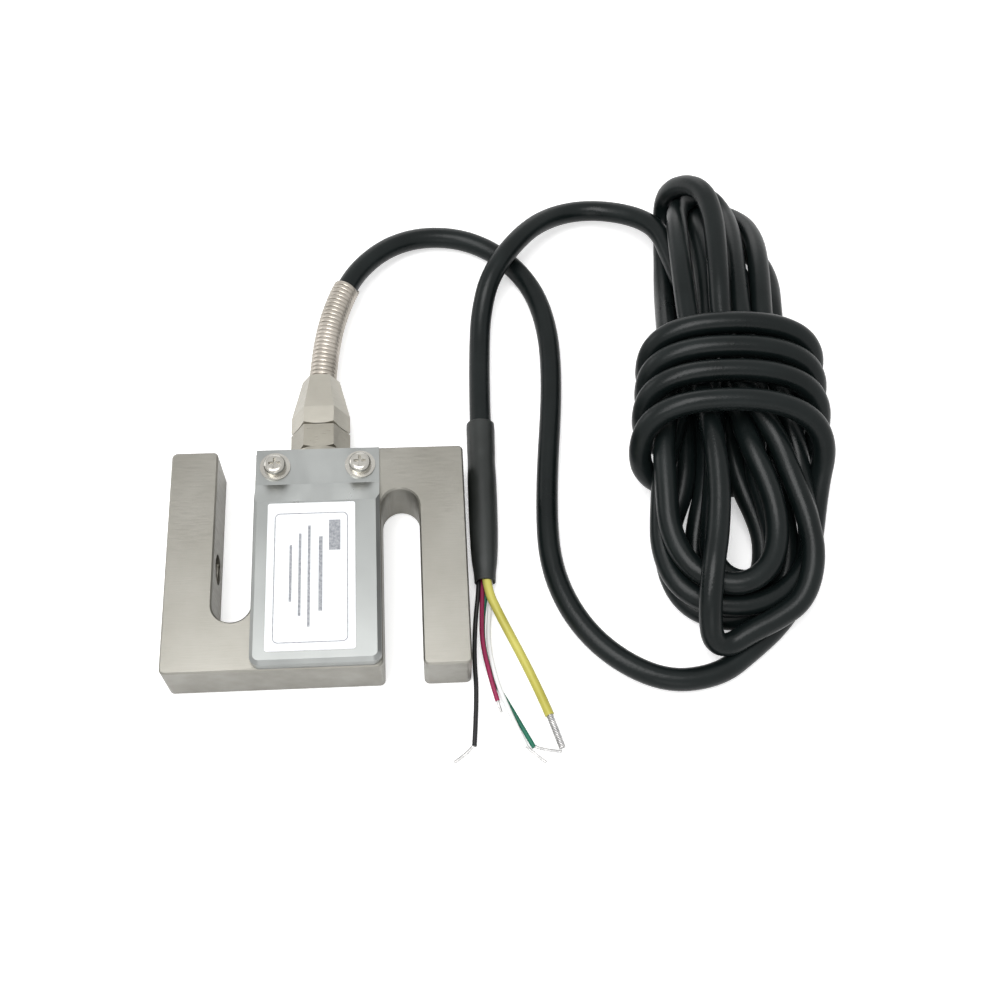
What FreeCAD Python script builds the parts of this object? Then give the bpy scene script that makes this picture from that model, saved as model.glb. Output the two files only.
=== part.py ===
import FreeCAD, Part
import math
import os
from FreeCAD import Vector

# S-type load cell: an S-shaped spring body lying on its back face, with a pressed cover over
# its gauge window, and a screened cable in a gland with a spring guard. Millimetres.
# X is the load axis, Y points towards the gland, Z is up. The origin is the centre of the
# back face that the cell rests on.

os.makedirs("parts", exist_ok=True)

# Body
BODY_LENGTH = 63.5
BODY_WIDTH = 50.8
BODY_THICKNESS = 12.7
ARM_THICKNESS = 10.0
SLOT_WIDTH = 8.2
FRONT_BRIDGE = 10.8
REAR_BRIDGE = 10.4
CORNER_RADIUS = 1.2
EDGE_CHAMFER = 0.35

# Load threads, M8 x 1.25
LOAD_THREAD = 8.0
LOAD_PITCH = 1.25
LOAD_COUNTERSINK = 0.5

# Gauge window, milled from the front face down to the shear web
WINDOW_WIDTH = 17.0
WINDOW_LENGTH = 18.0
WINDOW_RADIUS = 3.0
WEB_THICKNESS = 3.0
POCKET_STEP_MARGIN = 0.1
FILL_DEPTH_BELOW_FACE = 1.0

# Strain gauges and terminal board
GAUGE_LENGTH = 6.0
GAUGE_WIDTH = 3.4
GAUGE_THICKNESS = 0.2
GAUGE_SIDE_MARGIN = 4.6
GAUGE_END_MARGIN = 5.1
BOARD_WIDTH = 13.0
BOARD_END_GAP = 0.8
BOARD_THICKNESS = 0.5
PAD_PITCH = 3.0
RESISTOR_LENGTH = 2.0
RESISTOR_WIDTH = 1.2
RESISTOR_HEIGHT = 0.6
JUMPER_DIAMETER = 0.3
JUMPER_PAD_GAP = 0.3

# Cover, a pressed pan with a low screw flange at its gland end
SHEET = 0.6
COVER_SIDE_MARGIN = 0.2
COVER_FRONT_MARGIN = 0.3
COVER_REAR_MARGIN = 0.3
COVER_HEIGHT = 3.2
FLANGE_LENGTH = 8.6
RAMP_LENGTH = 5.4
COVER_CORNER_RADIUS = 2.0
COVER_EDGE_BEVEL = 0.8
LABEL_LEFT_MARGIN = 3.15
LABEL_RIGHT_MARGIN = 5.15
LABEL_REAR_MARGIN = 0.5
LABEL_THICKNESS = 0.15
LABEL_FRONT_MARGIN = 2.5

# Cover screws, M2.5 pan head, on plain washers
SCREW_SIDE_MARGIN = 4.15
SCREW_REAR_MARGIN = 4.6
SCREW_DIAMETER = 2.5
SCREW_PITCH = 0.45
SCREW_REACH = 4.5
SCREW_HEAD_DIAMETER = 4.8
SCREW_HEAD_HEIGHT = 1.7
RECESS_WIDTH = 0.6
RECESS_SPAN = 2.6
RECESS_DEPTH = 0.9
WASHER_DIAMETER = 6.6
WASHER_THICKNESS = 0.4

# Gland
GLAND_SPIGOT_DIAMETER = 8.0
GLAND_SPIGOT_LENGTH = 7.0
GLAND_HOLE_DEPTH = 8.0
WIRE_HOLE_LENGTH = 0.6
WIRE_HOLE_DIAMETER = 3.2
GLAND_WASHER_DIAMETER = 12.4
GLAND_WASHER_THICKNESS = 1.0
HEX_ACROSS_FLATS = 11.5
GLAND_HEX_LENGTH = 5.8
GLAND_NECK_DIAMETER = 8.8
GLAND_NECK_LENGTH = 5.4
GLAND_SEAT_LENGTH = 4.4
GLAND_BORE = 5.5
NUT_HEX_LENGTH = 4.4
NUT_TAPER_LENGTH = 9.6
NUT_TIP_FLATS = 7.4
NUT_GAP = 0.2
SEAL_DIAMETER = 7.2
SEAL_LENGTH = 3.6
CLAMP_WASHER_THICKNESS = 0.8

# Spring guard, close-wound
GUARD_WIRE = 0.6
GUARD_PITCH = 1.1
GUARD_TURNS = 33

# Cable and cores
CABLE_DIAMETER = 5.0
CORE_DIAMETER = 1.0
SHIELD_SLEEVE_DIAMETER = 2.0
BRAID_DIAMETER = 1.2
BARE_END_DIAMETER = 0.6
SHRINK_DIAMETER = 6.6
SHRINK_WALL = 0.4
SHRINK_GRIP = 7.6
SHRINK_STRAIGHT = 27.0
SHRINK_TAPER = 4.8
SHRINK_MOUTH_DIAMETER = 4.8

# Fits
SLIDING_FIT = 0.1
THREAD_FIT = 0.05
SEAT_FIT = 0.02

# Places worked out from the sizes above
AXIS_Z = BODY_THICKNESS / 2
CORE_HALF = BODY_LENGTH / 2 - ARM_THICKNESS - SLOT_WIDTH
REAR_Y = BODY_WIDTH / 2
FRONT_Y = -BODY_WIDTH / 2
COVER_TOP_Z = BODY_THICKNESS + COVER_HEIGHT
FLANGE_TOP_Z = BODY_THICKNESS + SHEET
SCREW_Y = REAR_Y - SCREW_REAR_MARGIN
COVER_HALF = CORE_HALF - COVER_SIDE_MARGIN
SCREW_X = COVER_HALF - SCREW_SIDE_MARGIN
COVER_FRONT_Y = FRONT_Y + COVER_FRONT_MARGIN
COVER_REAR_Y = REAR_Y - COVER_REAR_MARGIN
RAMP_FOOT_Y = COVER_REAR_Y - FLANGE_LENGTH
RAMP_TOP_Y = RAMP_FOOT_Y - RAMP_LENGTH
SCREW_MINOR = SCREW_DIAMETER - 1.0825 * SCREW_PITCH
BOARD_POCKET_Z = AXIS_Z - WIRE_HOLE_DIAMETER / 2 - POCKET_STEP_MARGIN
BOARD_END_Y = REAR_Y - GLAND_HOLE_DEPTH - WIRE_HOLE_LENGTH
BOARD_TOP_Z = BOARD_POCKET_Z + BOARD_THICKNESS
BOARD_FRONT_Y = WINDOW_LENGTH / 2 + BOARD_END_GAP
BOARD_LENGTH = BOARD_END_Y - BOARD_END_GAP - BOARD_FRONT_Y
PAD_Y = BOARD_FRONT_Y + 0.45 * BOARD_LENGTH
GAUGE_X = WINDOW_WIDTH / 2 - GAUGE_SIDE_MARGIN
GAUGE_Y = WINDOW_LENGTH / 2 - GAUGE_END_MARGIN
GLAND_HEX_Y = REAR_Y + GLAND_WASHER_THICKNESS
GLAND_NECK_Y = GLAND_HEX_Y + GLAND_HEX_LENGTH
NECK_END_Y = GLAND_NECK_Y + GLAND_NECK_LENGTH
SEAL_Y = NECK_END_Y - GLAND_SEAT_LENGTH
NUT_Y = GLAND_NECK_Y + NUT_GAP
CLAMP_Y = SEAL_Y + SEAL_LENGTH + SEAT_FIT
GUARD_RADIUS = CABLE_DIAMETER / 2 + SLIDING_FIT / 2 + GUARD_WIRE

# Routes of the cable: points of the runs, chosen by hand. The lead leaves the gland straight
# and lies on the table; the tail comes out of the hank, passes over the lead and ends in the
# shrink sleeve beside the body.
LEAD_ROUTE = [
    (0.0, 33.0, 6.35), (0.0, 53.0, 6.35), (5.2, 73.6, 6.0), (13.6, 84.9, 4.8),
    (24.2, 90.4, 3.2), (36.4, 89.4, 2.5), (46.9, 81.5, 2.5), (53.2, 69.2, 2.5),
    (54.5, 50.3, 2.5), (50.1, 15.0, 2.5), (50.4, -3.2, 2.5), (57.9, -18.3, 2.5),
    (71.4, -27.8, 2.5), (84.2, -27.1, 2.5), (92.5, -21.2, 2.5),
]
TAIL_ROUTE = [
    (84.0, 90.3, 7.4), (77.6, 96.1, 5.4), (67.8, 98.3, 3.6), (58.2, 95.5, 5.0),
    (49.6, 87.2, 8.6), (40.8, 75.2, 8.6), (37.9, 66.0, 4.4), (37.1, 55.0, 2.6),
    (36.55, 42.0, 3.3), (36.25, 28.0, 3.3),
]

# Routes of the cores beyond the mouth of the sleeve, each ending where its insulation stops
SHIELD_ROUTE = [(38.4, -11.6, 3.1), (43.0, -21.0, 1.2), (46.6, -30.0, 1.0), (47.8, -33.6, 1.0)]
BLACK_ROUTE = [(33.2, -11.0, 1.2), (32.5, -20.0, 0.5), (32.8, -28.4, 0.5), (31.7, -39.4, 0.5)]
RED_ROUTE = [(34.6, -10.0, 1.6), (34.3, -16.5, 1.5), (35.4, -23.5, 1.5), (37.0, -30.0, 1.0)]
WHITE_ROUTE = [(36.3, -9.6, 1.6), (35.6, -16.5, 1.5), (36.6, -24.0, 1.55), (38.6, -31.0, 1.5),
               (42.5, -40.0, 0.5)]
GREEN_ROUTE = [(35.3, -9.8, 0.5), (34.9, -16.5, 0.5), (36.2, -24.0, 0.5), (40.0, -31.6, 0.5),
               (44.1, -40.2, 0.5)]

# Bare ends beyond the insulation
BRAID_END = (50.0, -40.6, 0.6)
BLACK_END = (27.4, -42.6, 0.4)
RED_END = (37.7, -32.4, 0.5)
WHITE_END = (46.4, -43.4, 0.4)
GREEN_END = (49.6, -42.0, 0.4)

# Hank: half-widths, lengths and heights of its three parts
HANK_X = 91.6
HANK_WAIST_WIDTH = 43.0
HANK_WAIST_HEIGHT = 29.4
HANK_WAIST_FRONT = 10.0
HANK_WAIST_REAR = 49.0
HANK_WAIST_RADIUS = 12.0
HANK_LOBE_X = 92.7
HANK_LOBE_WIDTH = 36.6
HANK_LOBE_HEIGHT = 17.0
HANK_LOBE_FRONT = -17.6
HANK_HOLE_X = 96.2
HANK_HOLE_WIDTH = 7.2
HANK_HOLE_FRONT = -1.4
HANK_HOLE_REAR = 10.0
HANK_TOP_X = 94.2
HANK_TOP_ROOT_WIDTH = 31.0
HANK_TOP_SHOULDER_WIDTH = 26.4
HANK_TOP_TIP_WIDTH = 12.4
HANK_TOP_SHOULDER_Y = 81.0
HANK_TOP_HEIGHT = 27.0
HANK_TOP_REAR = 93.0
HANK_STUB_LENGTH = 12.0
HANK_ROUNDING = 4.0


def cylinder(diameter, length, point, direction):
    """A plain round bar from a point along a direction."""
    return Part.makeCylinder(diameter / 2, length, Vector(*point), Vector(*direction))


def box(x_span, y_span, z_span):
    """A block between pairs of limits along X, Y and Z."""
    return Part.makeBox(x_span[1] - x_span[0], y_span[1] - y_span[0], z_span[1] - z_span[0],
                        Vector(x_span[0], y_span[0], z_span[0]))


def edges_along(shape, axis, test):
    """Straight edges of a shape that run along an axis and whose middle passes a test."""
    found = []
    for edge in shape.Edges:
        if edge.Curve.TypeId != "Part::GeomLine":
            continue
        direction = edge.tangentAt(edge.FirstParameter)
        if abs(direction.dot(axis)) > 0.999 and test(edge.CenterOfMass):
            found.append(edge)
    return found


def hexagon(across_flats, y):
    """A closed hexagon about the gland axis at a height y, with two flats level."""
    corner = across_flats / math.sqrt(3)
    points = []
    for index in range(7):
        angle = math.radians(60 * index)
        points.append(Vector(corner * math.cos(angle), y, AXIS_Z + corner * math.sin(angle)))
    return Part.makePolygon(points)


def ring_on_gland_axis(outer, inner, y_start, length):
    """A round ring about the gland axis."""
    body = cylinder(outer, length, (0, y_start, AXIS_Z), (0, 1, 0))
    return body.cut(cylinder(inner, length, (0, y_start, AXIS_Z), (0, 1, 0)))


def route_wire(points, name):
    """Straight runs joined by tangent arcs, each as large as its two runs allow."""
    corners = [Vector(*point) for point in points]
    edges = []
    radii = []
    start = corners[0]
    for before, corner, after in zip(corners, corners[1:], corners[2:]):
        back = (before - corner).normalize()
        ahead = (after - corner).normalize()
        half_turn = (math.pi - back.getAngle(ahead)) / 2
        reach = 0.45 * min((before - corner).Length, (after - corner).Length)
        radius = reach / math.tan(half_turn)
        arc_start = corner + back * reach
        arc_end = corner + ahead * reach
        inward = (back + ahead).normalize()
        middle = corner + inward * (radius / math.cos(half_turn) - radius)
        edges.append(Part.LineSegment(start, arc_start).toShape())
        edges.append(Part.Arc(arc_start, middle, arc_end).toShape())
        radii.append(round(radius, 1))
        start = arc_end
    edges.append(Part.LineSegment(start, corners[-1]).toShape())
    wire = Part.Wire(edges)
    print(name, "length", round(wire.Length, 1), "radii", radii)
    return wire


def tube(points, diameter, name):
    """A plain round cord along a route, checked against its section times its length."""
    wire = route_wire(points, name)
    start = Vector(*points[0])
    direction = Vector(*points[1]) - start
    section = Part.Wire(Part.makeCircle(diameter / 2, start, direction))
    solid = wire.makePipeShell([section], True, False)
    expected = math.pi * diameter ** 2 / 4 * wire.Length
    print(name, "volume ratio", round(solid.Volume / expected, 4))
    return solid


def place_on_wire(wire, distance):
    """Point and direction at a distance along a wire."""
    for edge in wire.Edges:
        if distance <= edge.Length:
            parameter = edge.getParameterByLength(distance)
            return edge.valueAt(parameter), edge.tangentAt(parameter)
        distance -= edge.Length
    return edge.valueAt(edge.LastParameter), edge.tangentAt(edge.LastParameter)


def slot(x_start, y_mouth, y_end, z_top):
    """A through slot of the body with a fully rounded inner end."""
    radius = SLOT_WIDTH / 2
    x_middle = x_start + radius
    side = 1 if y_end > y_mouth else -1
    y_centre = y_end - side * radius
    y_outside = y_mouth - side
    straight = box((x_start, x_start + SLOT_WIDTH), sorted((y_outside, y_centre)), (-1, z_top + 1))
    end = cylinder(SLOT_WIDTH, z_top + 2, (x_middle, y_centre, -1), (0, 0, 1))
    return straight.fuse(end)


def gauge_pocket():
    """The milled window: a deep part over the shear web and a shelf for the terminal board."""
    half = WINDOW_WIDTH / 2
    deep = box((-half, half), (-WINDOW_LENGTH / 2, WINDOW_LENGTH / 2),
               (WEB_THICKNESS, BODY_THICKNESS + 1))
    shelf = box((-half, half), (-WINDOW_LENGTH / 2, BOARD_END_Y),
                (BOARD_POCKET_Z, BODY_THICKNESS + 1))
    up = Vector(0, 0, 1)
    deep = deep.makeFillet(WINDOW_RADIUS, edges_along(deep, up, lambda c: c.y < 0))
    shelf = shelf.makeFillet(WINDOW_RADIUS, edges_along(shelf, up, lambda c: True))
    return deep.fuse(shelf).removeSplitter()


def load_cell_body():
    """The S-shaped steel spring with its load threads, window, gland hole and screw holes."""
    half_length = BODY_LENGTH / 2
    block = box((-half_length, half_length), (FRONT_Y, REAR_Y), (0, BODY_THICKNESS))
    left_slot = slot(-half_length + ARM_THICKNESS, REAR_Y, FRONT_Y + FRONT_BRIDGE, BODY_THICKNESS)
    right_slot = slot(CORE_HALF, FRONT_Y, REAR_Y - REAR_BRIDGE, BODY_THICKNESS)
    block = block.cut(left_slot).cut(right_slot)
    up = Vector(0, 0, 1)
    corners = edges_along(block, up, lambda c: abs(abs(c.y) - REAR_Y) < 0.01)
    block = block.makeFillet(CORNER_RADIUS, corners)
    rims = []
    for edge in block.Edges:
        box_of_edge = edge.BoundBox
        if box_of_edge.ZLength < 0.01 and min(abs(box_of_edge.ZMin),
                                              abs(box_of_edge.ZMin - BODY_THICKNESS)) < 0.01:
            rims.append(edge)
    block = block.makeChamfer(EDGE_CHAMFER, rims)
    minor = LOAD_THREAD - 1.0825 * LOAD_PITCH
    for side in (-1, 1):
        reach = ARM_THICKNESS + SLOT_WIDTH / 2
        hole = cylinder(minor, reach, (side * half_length, 0, AXIS_Z), (-side, 0, 0))
        mouth = Part.makeCone(minor / 2 + LOAD_COUNTERSINK, minor / 2, LOAD_COUNTERSINK,
                              Vector(side * half_length, 0, AXIS_Z), Vector(-side, 0, 0))
        block = block.cut(hole).cut(mouth)
    block = block.cut(gauge_pocket())
    gland_hole = cylinder(GLAND_SPIGOT_DIAMETER + 2 * THREAD_FIT, GLAND_HOLE_DEPTH,
                          (0, REAR_Y, AXIS_Z), (0, -1, 0))
    wire_hole = cylinder(WIRE_HOLE_DIAMETER, REAR_Y - WINDOW_LENGTH / 2 - GLAND_HOLE_DEPTH / 2,
                         (0, REAR_Y - GLAND_HOLE_DEPTH / 2, AXIS_Z), (0, -1, 0))
    block = block.cut(gland_hole).cut(wire_hole)
    for side in (-1, 1):
        tapped = cylinder(SCREW_MINOR, SCREW_REACH + 1.5,
                          (side * SCREW_X, SCREW_Y, BODY_THICKNESS), (0, 0, -1))
        block = block.cut(tapped)
    return block


def side_profile(points, x_from, x_to):
    """A prism from (y, z) points, extruded along X."""
    corners = [Vector(x_from, y, z) for y, z in points]
    face = Part.Face(Part.makePolygon(corners + corners[:1]))
    return face.extrude(Vector(x_to - x_from, 0, 0))


def front_cover():
    """One sheet pressed into a raised pan, with a ramp down to its screw flange."""
    outside = side_profile([(COVER_REAR_Y, BODY_THICKNESS), (COVER_REAR_Y, FLANGE_TOP_Z),
                            (RAMP_FOOT_Y, FLANGE_TOP_Z), (RAMP_TOP_Y, COVER_TOP_Z),
                            (COVER_FRONT_Y, COVER_TOP_Z), (COVER_FRONT_Y, BODY_THICKNESS)],
                           -COVER_HALF, COVER_HALF)
    up = Vector(0, 0, 1)
    outside = outside.makeFillet(COVER_CORNER_RADIUS,
                                 edges_along(outside, up, lambda c: c.y < 0))
    bevelled = []
    for edge in outside.Edges:
        middle = edge.CenterOfMass
        flat = edge.BoundBox.ZLength < 0.01
        if flat and abs(middle.z - COVER_TOP_Z) < 0.01 and middle.y < RAMP_TOP_Y - 0.5:
            bevelled.append(edge)
    outside = outside.makeChamfer(COVER_EDGE_BEVEL, bevelled)
    slope = math.atan2(COVER_HEIGHT - SHEET, RAMP_LENGTH)
    shift = SHEET * math.tan(slope / 2)
    hollow = side_profile([(RAMP_FOOT_Y - shift, BODY_THICKNESS),
                           (RAMP_TOP_Y - shift, COVER_TOP_Z - SHEET),
                           (COVER_FRONT_Y + SHEET, COVER_TOP_Z - SHEET),
                           (COVER_FRONT_Y + SHEET, BODY_THICKNESS)],
                          -COVER_HALF + SHEET, COVER_HALF - SHEET)
    hollow = hollow.makeFillet(COVER_CORNER_RADIUS - SHEET,
                               edges_along(hollow, up, lambda c: c.y < 0))
    cover = outside.cut(hollow)
    for side in (-1, 1):
        hole = cylinder(SCREW_DIAMETER + 2 * SLIDING_FIT, 2 * SHEET,
                        (side * SCREW_X, SCREW_Y, BODY_THICKNESS - SHEET / 2), (0, 0, 1))
        cover = cover.cut(hole)
    return cover


def label():
    """The plain adhesive plate on the raised panel."""
    plate = box((-COVER_HALF + LABEL_LEFT_MARGIN, COVER_HALF - LABEL_RIGHT_MARGIN),
                (COVER_FRONT_Y + LABEL_FRONT_MARGIN, RAMP_TOP_Y - LABEL_REAR_MARGIN),
                (COVER_TOP_Z, COVER_TOP_Z + LABEL_THICKNESS))
    return plate.makeFillet(0.5, edges_along(plate, Vector(0, 0, 1), lambda c: True))


def cover_screw(side):
    """A pan-head screw with a cross recess, its shank at the minor size of its thread."""
    x = side * SCREW_X
    seat = FLANGE_TOP_Z + WASHER_THICKNESS
    head = cylinder(SCREW_HEAD_DIAMETER, SCREW_HEAD_HEIGHT, (x, SCREW_Y, seat), (0, 0, 1))
    rim = [edge for edge in head.Edges if edge.BoundBox.ZMin > seat + SCREW_HEAD_HEIGHT / 2]
    head = head.makeFillet(SCREW_HEAD_HEIGHT * 0.55, [edge for edge in rim
                                                       if edge.BoundBox.ZLength < 0.01])
    shank = cylinder(SCREW_MINOR - 2 * THREAD_FIT, SCREW_REACH + SHEET + WASHER_THICKNESS,
                     (x, SCREW_Y, seat), (0, 0, -1))
    screw = head.fuse(shank)
    top = seat + SCREW_HEAD_HEIGHT
    for wide, deep in ((RECESS_SPAN, RECESS_WIDTH), (RECESS_WIDTH, RECESS_SPAN)):
        bar = box((x - wide / 2, x + wide / 2), (SCREW_Y - deep / 2, SCREW_Y + deep / 2),
                  (top - RECESS_DEPTH, top + 1))
        screw = screw.cut(bar)
    return screw


def screw_washer(side):
    """The plain washer under a cover screw."""
    place = (side * SCREW_X, SCREW_Y, FLANGE_TOP_Z)
    disc = cylinder(WASHER_DIAMETER, WASHER_THICKNESS, place, (0, 0, 1))
    return disc.cut(cylinder(SCREW_DIAMETER + 2 * SLIDING_FIT, WASHER_THICKNESS, place, (0, 0, 1)))


def strain_gauge(side_x, side_y):
    """One foil gauge, bonded to the web at 45 degrees to the load axis."""
    half_length = GAUGE_LENGTH / 2
    half_width = GAUGE_WIDTH / 2
    foil = box((-half_length, half_length), (-half_width, half_width),
               (WEB_THICKNESS, WEB_THICKNESS + GAUGE_THICKNESS))
    foil.rotate(Vector(0, 0, 0), Vector(0, 0, 1), -45 * side_x * side_y)
    foil.translate(Vector(side_x * GAUGE_X, side_y * GAUGE_Y, 0))
    return foil


def terminal_board():
    """The small solder board on its shelf, with four raised pads."""
    half_width = BOARD_WIDTH / 2
    return box((-half_width, half_width), (BOARD_FRONT_Y, BOARD_FRONT_Y + BOARD_LENGTH),
               (BOARD_POCKET_Z, BOARD_TOP_Z))


def balance_resistor():
    """The chip resistor that trims the bridge, on the gauge side of the board."""
    y = BOARD_FRONT_Y + SLIDING_FIT
    return box((-RESISTOR_LENGTH / 2, RESISTOR_LENGTH / 2), (y, y + RESISTOR_WIDTH),
               (BOARD_TOP_Z, BOARD_TOP_Z + RESISTOR_HEIGHT))


def jumper_wires():
    """Four fine wires from the gauges up to the board."""
    wires = []
    radius = JUMPER_DIAMETER / 2
    low = WEB_THICKNESS + GAUGE_THICKNESS + radius
    high = BOARD_TOP_Z + radius
    for column in (-1.5, -0.5, 0.5, 1.5):
        x = column * PAD_PITCH
        inner = math.copysign(GAUGE_X + 0.4 * column * column, column)
        points = [(inner, GAUGE_Y - 0.8 + abs(column), low),
                  (inner, WINDOW_LENGTH / 2 - 2.2, low + 0.1),
                  (x, BOARD_FRONT_Y + 0.1 * BOARD_LENGTH, high + 0.6),
                  (x, PAD_Y - JUMPER_PAD_GAP, high)]
        wires.append(tube(points, JUMPER_DIAMETER, "jumper"))
    return Part.makeCompound(wires)


def inner_core(column, row, name):
    """A core inside the cell, from the jacket's end through the gland to its pad."""
    offset = CORE_DIAMETER / 2 + SLIDING_FIT / 2
    x = column * offset
    z = AXIS_Z + row * offset
    pad = column * PAD_PITCH * (0.5 if row < 0 else 1.5)
    pad_z = BOARD_TOP_Z + CORE_DIAMETER / 2
    start = LEAD_ROUTE[0][1]
    points = [(x, start, z), (x, BOARD_END_Y - 0.6, z + 0.02),
              (x + (pad - x) * 0.55, PAD_Y + 0.35 * BOARD_LENGTH, (z + pad_z) / 2 + 0.05),
              (pad, PAD_Y, pad_z)]
    return tube(points, CORE_DIAMETER, name)


def window_fill(inside):
    """The silicone that seals the gauge window, moulded round what lies in it."""
    fill = gauge_pocket().common(box((-WINDOW_WIDTH, WINDOW_WIDTH), (-BODY_WIDTH, BODY_WIDTH),
                                     (0, BODY_THICKNESS - FILL_DEPTH_BELOW_FACE)))
    return fill.cut(inside)


def gland_washer():
    """The thin sealing washer between the gland and the end face."""
    return ring_on_gland_axis(GLAND_WASHER_DIAMETER, GLAND_SPIGOT_DIAMETER + 2 * SLIDING_FIT,
                              REAR_Y, GLAND_WASHER_THICKNESS)


def chamfered_hex(across_flats, y_start, length, chamfer_start, chamfer_end):
    """A hexagonal bar whose corners are turned down at one or both ends."""
    bar = Part.Face(hexagon(across_flats, y_start)).extrude(Vector(0, length, 0))
    flats = across_flats / 2
    corner = across_flats / math.sqrt(3)
    drop = (corner - flats) * 0.6
    outline = [(0, y_start), (flats if chamfer_start else corner, y_start),
               (corner, y_start + (drop if chamfer_start else 0)),
               (corner, y_start + length - (drop if chamfer_end else 0)),
               (flats if chamfer_end else corner, y_start + length), (0, y_start + length)]
    points = []
    for radius, y in outline:
        point = Vector(radius, y, AXIS_Z)
        if not points or (point - points[-1]).Length > 0.001:
            points.append(point)
    face = Part.Face(Part.makePolygon(points + points[:1]))
    turned = face.revolve(Vector(0, 0, AXIS_Z), Vector(0, 1, 0), 360)
    return bar.common(turned)


def gland_body():
    """The turned gland: spigot for the body, hexagon, and a neck with a seat for the seal."""
    spigot = cylinder(GLAND_SPIGOT_DIAMETER, GLAND_SPIGOT_LENGTH + GLAND_WASHER_THICKNESS,
                      (0, REAR_Y - GLAND_SPIGOT_LENGTH, AXIS_Z), (0, 1, 0))
    hexagonal = chamfered_hex(HEX_ACROSS_FLATS, GLAND_HEX_Y, GLAND_HEX_LENGTH, True, False)
    neck = cylinder(GLAND_NECK_DIAMETER, GLAND_NECK_LENGTH, (0, GLAND_NECK_Y, AXIS_Z), (0, 1, 0))
    bore_length = NECK_END_Y - REAR_Y + GLAND_SPIGOT_LENGTH
    bore = cylinder(GLAND_BORE, bore_length, (0, REAR_Y - GLAND_SPIGOT_LENGTH, AXIS_Z), (0, 1, 0))
    seat = cylinder(SEAL_DIAMETER + SLIDING_FIT, GLAND_SEAT_LENGTH, (0, SEAL_Y, AXIS_Z), (0, 1, 0))
    return spigot.fuse(hexagonal).fuse(neck).cut(bore).cut(seat).removeSplitter()


def gland_seal():
    """The rubber ring that grips the cable."""
    return ring_on_gland_axis(SEAL_DIAMETER, CABLE_DIAMETER + 2 * SEAT_FIT, SEAL_Y, SEAL_LENGTH)


def clamp_washer():
    """The brass ring that the cap nut presses on the seal."""
    return ring_on_gland_axis(SEAL_DIAMETER - SLIDING_FIT, CABLE_DIAMETER + SLIDING_FIT, CLAMP_Y,
                              CLAMP_WASHER_THICKNESS)


def cap_nut():
    """The tapered cap nut: a hexagon that runs out in a six-sided cone."""
    taper_y = NUT_Y + NUT_HEX_LENGTH
    tip_y = taper_y + NUT_TAPER_LENGTH
    base = chamfered_hex(HEX_ACROSS_FLATS, NUT_Y, NUT_HEX_LENGTH, True, False)
    taper = Part.makeLoft([hexagon(HEX_ACROSS_FLATS, taper_y), hexagon(NUT_TIP_FLATS, tip_y)],
                          True, True)
    nut = base.fuse(taper)
    thread = cylinder(GLAND_NECK_DIAMETER + 2 * THREAD_FIT, GLAND_NECK_LENGTH + NUT_GAP,
                      (0, NUT_Y, AXIS_Z), (0, 1, 0))
    chamber_y = NUT_Y + GLAND_NECK_LENGTH + NUT_GAP
    guard_hole = cylinder(2 * GUARD_RADIUS + SLIDING_FIT, tip_y - chamber_y,
                          (0, chamber_y, AXIS_Z), (0, 1, 0))
    return nut.cut(thread).cut(guard_hole)


def spring_guard(lead):
    """The close-wound spring over the cable, each turn a closed ridge along the lead."""
    start = CLAMP_Y + CLAMP_WASHER_THICKNESS + SEAT_FIT - LEAD_ROUTE[0][1]
    valley = GUARD_RADIUS - GUARD_WIRE / 2
    rings = []
    for step in range(2 * GUARD_TURNS + 1):
        point, direction = place_on_wire(lead, start + step * GUARD_PITCH / 2)
        radius = GUARD_RADIUS if step % 2 else valley
        rings.append(Part.Wire(Part.makeCircle(radius, point, direction)))
    ridged = Part.makeLoft(rings, True, True)
    centre, direction = place_on_wire(lead, 0)
    bore = Part.Wire(Part.makeCircle(CABLE_DIAMETER / 2 + SLIDING_FIT / 2, centre, direction))
    return ridged.cut(lead.makePipeShell([bore], True, False))


def plan_prism(points, z_from, z_to):
    """A prism from (x, y) points, extruded upwards."""
    corners = [Vector(x, y, z_from) for x, y in points]
    face = Part.Face(Part.makePolygon(corners + corners[:1]))
    return face.extrude(Vector(0, 0, z_to - z_from))


def hank_waist():
    """The middle of the hank inside its wrapped turns, a rounded bar along Y."""
    half = HANK_WAIST_WIDTH / 2
    bar = box((HANK_X - half, HANK_X + half), (HANK_WAIST_FRONT, HANK_WAIST_REAR),
              (0, HANK_WAIST_HEIGHT))
    bar = bar.makeFillet(HANK_WAIST_RADIUS, edges_along(bar, Vector(0, 1, 0), lambda c: True))
    ends = [edge for edge in bar.Edges if edge.BoundBox.YLength < 0.01]
    return bar.makeFillet(CABLE_DIAMETER / 2, ends)


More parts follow.
